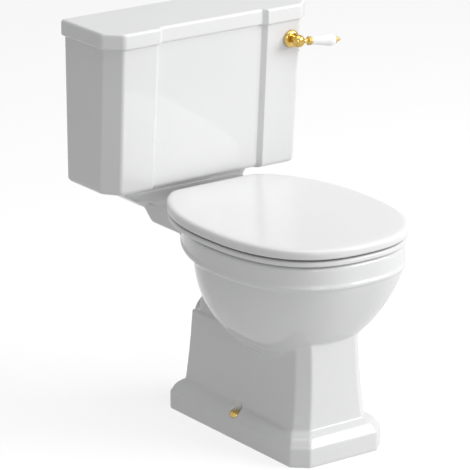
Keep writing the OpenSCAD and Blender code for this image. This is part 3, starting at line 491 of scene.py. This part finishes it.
nylon = surface("white_nylon", (0.80, 0.80, 0.77), (0.74, 0.74, 0.71), 0.03, (0.38, 0.52),
                0.0012, 0.00006)
clad(nylon, "floor_sleeves")


def eased(profile, times=2):
    """The profile with its corners cut back to soft edges."""
    for _ in range(times):
        cut = [profile[0]]
        for (r0, h0), (r1, h1) in zip(profile, profile[1:]):
            cut += [(mix(r0, r1, 0.25), mix(h0, h1, 0.25)), (mix(r0, r1, 0.75), mix(h0, h1, 0.75))]
        profile = cut + [profile[-1]]
    return profile


def both(name, parts):
    """One piece out of several."""
    first = parts[0]
    work = bmesh.new()
    for part in parts:
        work.from_mesh(part.data)
    work.to_mesh(first.data)
    work.free()
    for part in parts[1:]:
        bpy.data.objects.remove(part)
    first.name = name
    return first


def softly_shaded(piece, angle=35):
    piece.data.polygons.foreach_set("use_smooth", [True] * len(piece.data.polygons))
    piece.data.set_sharp_from_angle(angle=math.radians(angle))
    weigh = piece.modifiers.new("weigh", "WEIGHTED_NORMAL")
    weigh.keep_sharp = True
    return piece


brass = surface("polished_brass", (0.74, 0.52, 0.17), (0.60, 0.40, 0.11), 0.012, (0.09, 0.17), 0.0016,
                0.00001, metal=1.0)
dome = [(9.5, 0), (11.5, 0), (11.5, 2.2)]
dome += [(11.5 * math.cos(a), 2.2 + 7.4 * math.sin(a)) for a in np.radians(np.arange(6, 90, 6))]
dome += [(0, 9.6), (0, 7.8)]
dome += [(9.5 * math.cos(a), 2.2 + 5.6 * math.sin(a)) for a in np.radians(np.arange(84, -1, -12))]
caps = softly_shaded(both("brass_floor_caps", [
    turned("cap", dome, (side * floor_x, 0, plinth_h + 4)) for side in (-1, 1)]))
fitted(caps, brass, "brass", "base", "floor_caps")

# ------------------------------------------------------------ the cistern seat
# The cistern sits on a thick rubber ring and is pulled down on the shelf by
# two brass bolts with rubber washers and wing nuts.

rubber = surface("black_rubber", (0.035, 0.035, 0.037), (0.022, 0.022, 0.023), 0.02,
                 (0.55, 0.72), 0.0009, 0.00008)
clad(rubber, "coupling_gasket", "coupling_washers")
clad(brass, "coupling_bolts", "coupling_wing_nuts")

# ----------------------------------------------------------------- the cistern
# A tall china box, slip cast like the pan, wider and deeper at its top, with
# cut-off front corners and a recessed panel down its front. It is open on top
# and bored for the siphon, its bolts, the inlet, the lever and the wall screws.

tank_z, tank_h, tank_floor, tank_wall = shelf_z + 12, 301, 14, 11
tank_top_z = tank_z + tank_h
panel_hw, panel_recess = 124.5, 9
lever_x, lever_z = 191, 718
inlet_y, inlet_z = wall_y - 90, 672


def tank_outline(w, d, cut, panel, inset=0, soft=10):
    """Half width w, depth d from the wall, drawn in by inset."""
    hw, back, front = w - inset, wall_y - inset, wall_y - d + inset
    k, r = inset * 0.41, max(1, soft - inset / 2)
    p = panel - k
    return rounded([(hw, back, 5), (-hw, back, 5), (-hw, front + cut[1] - k, r),
                    (-hw + cut[0] - k, front, r), (-p - panel_recess, front, 3),
                    (-p, front + panel_recess, 3), (p, front + panel_recess, 3),
                    (p + panel_recess, front, 3), (hw - cut[0] + k, front, r),
                    (hw, front + cut[1] - k, r)])


def tank_size(z):
    t = (z - tank_z) / tank_h
    return mix(471, 477, t) / 2, mix(151, 169.5, t)


def tank_row(z, inset):
    return z, tank_outline(*tank_size(z), (26, 35), panel_hw, inset)


quarter = [(math.sin(a), math.cos(a)) for a in np.radians(np.arange(0, 91, 15))]
cistern = lofted("cistern", [tank_row(tank_z + 11 * (1 - c), 10 * (1 - s)) for s, c in quarter]
                 + [tank_row(z, 0) for z in np.linspace(tank_z + 30, tank_top_z - 12, 8)]
                 + [tank_row(tank_top_z - 1.5 * (1 - s), 1.5 * (1 - c)) for s, c in quarter])
inside = lofted("inside", [tank_row(tank_z + tank_floor, tank_wall + 8)]
                + [tank_row(tank_z + tank_floor + 8 * (1 - c), tank_wall + 8 * (1 - s))
                   for s, c in quarter[1:]] + [tank_row(tank_top_z + 2, tank_wall)])
side_x = tank_size(inlet_z)[0]
holes = [inside, bore(0, outlet_y, tank_z - 1, 30, 24.5),
         bar((lever_x, 201, lever_z), (lever_x, 251, lever_z), 9),
         bar((side_x - 30, inlet_y, inlet_z), (side_x + 30, inlet_y, inlet_z), 11.1)]
for side in (-1, 1):
    holes += [bore(side * coupling_x, outlet_y, tank_z - 1, 30, bolt_r),
              bar((side * 150, wall_y - 31, 700), (side * 150, wall_y + 9, 700), 5)]
cistern = softly_shaded(joined(cistern, "DIFFERENCE", holes))
cistern.name = "china_cistern"
fitted(cistern, glaze, "china", "base", "cistern")

# ------------------------------------------------------------------ the siphon
# A moulded nylon siphon on the cistern floor, held from below by a big nut. Its
# plate is lifted by a rod and a wire link, with a thin rubber flap on top.

clad(nylon, "siphon_body", "siphon_nut", "siphon_plate")
clad(rubber, "siphon_washer", "siphon_flap")
steel = surface("drawn_steel", (0.66, 0.67, 0.69), (0.55, 0.56, 0.58), 0.02, (0.22, 0.34), 0.0009,
                0.00001, (1, 1, 0.15), 1.0)
clad(steel, "siphon_link")

# -------------------------------------------------------------- the fill valve
# A side-inlet valve of moulded nylon with a threaded tail through the cistern
# wall, a brass nut outside, and a float on a brass rod that pivots on a pin.

clad(nylon, "fill_valve")
clad(rubber, "fill_valve_washer")
clad(brass, "fill_valve_nut", "float_arm")
clad(steel, "fill_valve_pin")
float_white = surface("white_float", (0.82, 0.82, 0.80), (0.76, 0.76, 0.73), 0.04,
                      (0.30, 0.42), 0.0015, 0.00005)
clad(float_white, "float_ball")

# ------------------------------------------------------------------- the lever
# Turned and polished brass: a rose against the cistern, a domed boss and a
# collared arm that carries a glazed ceramic grip, closed by a small finial.
# Inside, a steel spindle and crank lift the siphon's link.

rose_y = wall_y - tank_size(lever_z)[1] - 8
arm_y = rose_y - 20
droop, forward = math.radians(4.2), math.radians(8)
arm_way = Vector((math.cos(droop) * math.cos(forward), -math.cos(droop) * math.sin(forward),
                  -math.sin(droop)))
grip_from, grip_l = 28, 54


def on_arm(name, profile, start):
    place = Vector((lever_x, arm_y, lever_z)) + arm_way * start
    return turned(name, profile, place, arm_way)


rose_face = eased([(12, 0), (14.5, 0.6), (16.5, 2), (17.6, 3.6), (18, 5.4), (18, 6)])
rose = turned("rose", [(4.6, 0)] + rose_face + [(8, 6), (8, 42), (4.6, 42)],
              (lever_x, rose_y, lever_z), (0, 1, 0))
rose.name = "brass_lever_rose"
fitted(softly_shaded(rose), brass, "brass", "base", "lever_rose")

boss = turned("boss", eased([(0, 0), (4, 0.3), (8, 1.6), (11, 4), (12.6, 7.4), (13, 11), (12, 14),
                             (10, 15.5), (9, 17), (7.5, 19), (7.5, 28)]) + [(0, 28)],
              (lever_x, arm_y - 9, lever_z), (0, 1, 0))
collars = eased([(5, 0), (4.2, 4), (4.2, 9), (6.5, 10.6), (9, 12), (9.2, 13), (8.4, 14.2), (7.4, 14.8),
                 (8.8, 15.6), (9.2, 17), (8.6, 18.4), (7, 19.4), (7, 20)])
stem_end = grip_from + grip_l + 0.5
stem = on_arm("stem", [(0, 0)] + collars + [(3, 20), (3, stem_end), (0, stem_end)], 8)
arm = joined(boss, "UNION", [stem])
arm.name = "brass_lever_arm"
fitted(softly_shaded(arm), brass, "brass", "flush_lever", "lever_arm")

swell = [(mix(8.2, 12.5, t**1.3), grip_l * (0.03 + t * 0.75)) for t in np.arange(0.1, 0.9, 0.15)]
shoulder = [(12.5, grip_l * 0.76), (12.2, grip_l * 0.84), (11, grip_l * 0.92), (8.6, grip_l * 0.98),
            (6.4, grip_l)]
grip = on_arm("ceramic_grip", [(3.05, 0)] + eased([(6.8, 0), (8, 1.4)] + swell + shoulder)
              + [(3.05, grip_l)], grip_from)
ceramic = surface("ceramic_glaze", (0.88, 0.88, 0.88), (0.86, 0.86, 0.865), 0.02, (0.05, 0.09),
                  0.006, 0.00001)
fitted(softly_shaded(grip), ceramic, "grip_china", "flush_lever", "lever_grip")

spire = eased([(6.4, 0), (7.5, 1.4), (7.2, 3), (5, 4.2), (4.2, 6), (3.8, 8.4), (2.4, 11), (0.8, 12.8), (0, 13)])
finial = on_arm("brass_finial", [(0, 0)] + spire, grip_from + grip_l)
fitted(softly_shaded(finial), brass, "brass", "flush_lever", "lever_finial")

clad(rubber, "lever_seal")
clad(brass, "lever_backnut")
clad(steel, "lever_spindle", "lever_crank")

# ------------------------------------------------------------- the cistern lid
# A loose china lid that follows the cistern's outline, with a soft top edge. A
# rib underneath keeps it from sliding off.

lid_z, lid_h = tank_top_z + 0.3, 33
lid_top = lid_z + lid_h


def lid_row(z, inset):
    return z, tank_outline(247.5, 175.5, (34, 34), panel_hw - 3, inset, 16)


def rib_row(z, inset):
    return z, tank_outline(*tank_size(tank_top_z), (26, 35), panel_hw, inset)


tank_lid = lofted("tank_lid", [lid_row(lid_z + 5 * (1 - c), 4.5 * (1 - s)) for s, c in quarter]
                  + [lid_row(z, 0) for z in (lid_z + 12, lid_top - 12)]
                  + [lid_row(lid_top - 6 * (1 - s), 5 * (1 - c)) for s, c in quarter])
tank_lid = joined(tank_lid, "UNION", [lofted("rib", [rib_row(tank_top_z - 12, tank_wall + 4),
                                                     rib_row(lid_z + 2, tank_wall + 4)])])
tank_lid = joined(tank_lid, "DIFFERENCE", [lofted("hollow", [rib_row(tank_top_z - 13, tank_wall + 11),
                                                             rib_row(lid_top - 15, tank_wall + 11)])])
tank_lid.name = "china_cistern_lid"
fitted(softly_shaded(tank_lid), glaze, "china", "tank_lid", "cistern_lid")

# ------------------------------------------------------------------ the hinges
# Two brass posts bolted through the deck on rubber washers with nylon nuts, and
# a steel pin through each that carries the ring and the lid.

clad(brass, "hinge_posts")
clad(steel, "hinge_pins")
clad(rubber, "hinge_washers")
clad(nylon, "hinge_nuts")

# --------------------------------------------------------------- the seat ring
# A moulded ring in white gloss, rounded on both edges, that rests on the rim on
# four rubber studs. Two arms with ears at the back turn on the hinge pins.

ring_z, ring_h = rim_z + 3, 10
ring_top = ring_z + ring_h


def seat_outline(inset, rear, n=320):
    """The seat's egg, drawn in by inset and softly cut off at y = rear."""
    outline = egg(196 - inset, -28, 257 - inset, 272 - inset, 2.52, 2.2, n)
    y = outline[:, 1]
    cut = rear - 3 * np.logaddexp(0, (rear - y) / 3)
    outline[:, 1] = np.where(y > 100, cut, y)
    return outline


def ring_edge(z, flare):
    return z, egg(112 + flare, -60, 145 + flare, 145 + flare)


ring_rear = hinge_y - 9.5
rows = [(2.6 * (1 - c), 3 + 2.2 * (1 - s)) for s, c in quarter]
rows += [(ring_h - 4 * (1 - s), 3 + 4 * (1 - c)) for s, c in quarter]
ring = lofted("ring", [(ring_z + up, seat_outline(inset, ring_rear - (inset - 3) / 2))
                       for up, inset in rows])
ring = joined(ring, "DIFFERENCE", [lofted("mouth", [ring_edge(ring_z - 1, 2), ring_edge(ring_z, 1)]
              + [ring_edge(ring_z + 1.5 * s, 1 - s) for s, c in quarter[1:]]
              + [ring_edge(ring_top - 4 * (1 - s), 5 * (1 - c)) for s, c in quarter]
              + [ring_edge(ring_top + 1, 6)])])
ears = []
for side in (-1, 1):
    x0, x1 = sorted((side * (hinge_x - 25), side * (hinge_x - 9)))
    ears += [brick((x0, ring_rear - 14, ring_z + 1), (x1, hinge_y + 6, ring_top - 1)),
             brick((x0, hinge_y - 5.5, ring_top - 1.5), (x1, hinge_y + 5.5, hinge_z)),
             bar((x0, hinge_y, hinge_z), (x1, hinge_y, hinge_z), 6.5)]
ring = joined(ring, "UNION", ears)
ring = joined(ring, "DIFFERENCE", [bar((-107, hinge_y, hinge_z), (107, hinge_y, hinge_z), 4.05)])
ring.name = "seat_ring_gloss"
seat_white = surface("seat_white", (0.78, 0.78, 0.78), (0.768, 0.768, 0.77), 0.15, (0.16, 0.24),
                     0.012, 0.00002)
fitted(softly_shaded(ring), seat_white, "seat_gloss", "seat_ring_body", "seat_ring")
clad(rubber, "ring_buffers")

# ---------------------------------------------------------------- the seat lid
# A moulded lid in the same white gloss, with a thick soft edge and a slightly
# crowned top. It is hollow underneath, with a pocket round each hinge.

seat_lid_z, seat_lid_h = ring_top + 5, 18.5
rows = flowing([(0, 2.5, 7), (1.5, 0.8, 5.4), (6, 0, 0.6), (seat_lid_h - 7.5, 0, 0), (seat_lid_h - 4, 1, 1),
                (seat_lid_h - 1.6, 3, 3), (seat_lid_h, 7, 6.5), (seat_lid_h + 0.9, 16, 14),
                (seat_lid_h + 1.6, 40, 32), (seat_lid_h + 2, 75, 60), (seat_lid_h + 2.2, 120, 90)], 4)
seat_lid = lofted("lid", [(seat_lid_z + up, seat_outline(inset, hinge_y + 20 - rear))
                          for up, inset, rear in rows])
cuts = [lofted("hollow", [(seat_lid_z + up, seat_outline(inset, hinge_y - 24))
                          for up, inset in ((-1, 13), (10, 15))])]
for side in (-1, 1):
    x0, x1 = sorted((side * (hinge_x - 26), side * (hinge_x + 10)))
    cuts.append(brick((x0, hinge_y - 8, seat_lid_z - 1), (x1, hinge_y + 42, hinge_z + 7.5)))
    x0, x1 = sorted((side * (hinge_x + 8), side * (hinge_x + 28)))
    cuts.append(bar((x0, hinge_y, hinge_z), (x1, hinge_y, hinge_z), 4.05))
seat_lid = joined(seat_lid, "DIFFERENCE", cuts)
seat_lid.name = "seat_lid_gloss"
fitted(softly_shaded(seat_lid), seat_white, "seat_gloss", "seat_lid_body", "seat_lid")
clad(rubber, "lid_buffers")
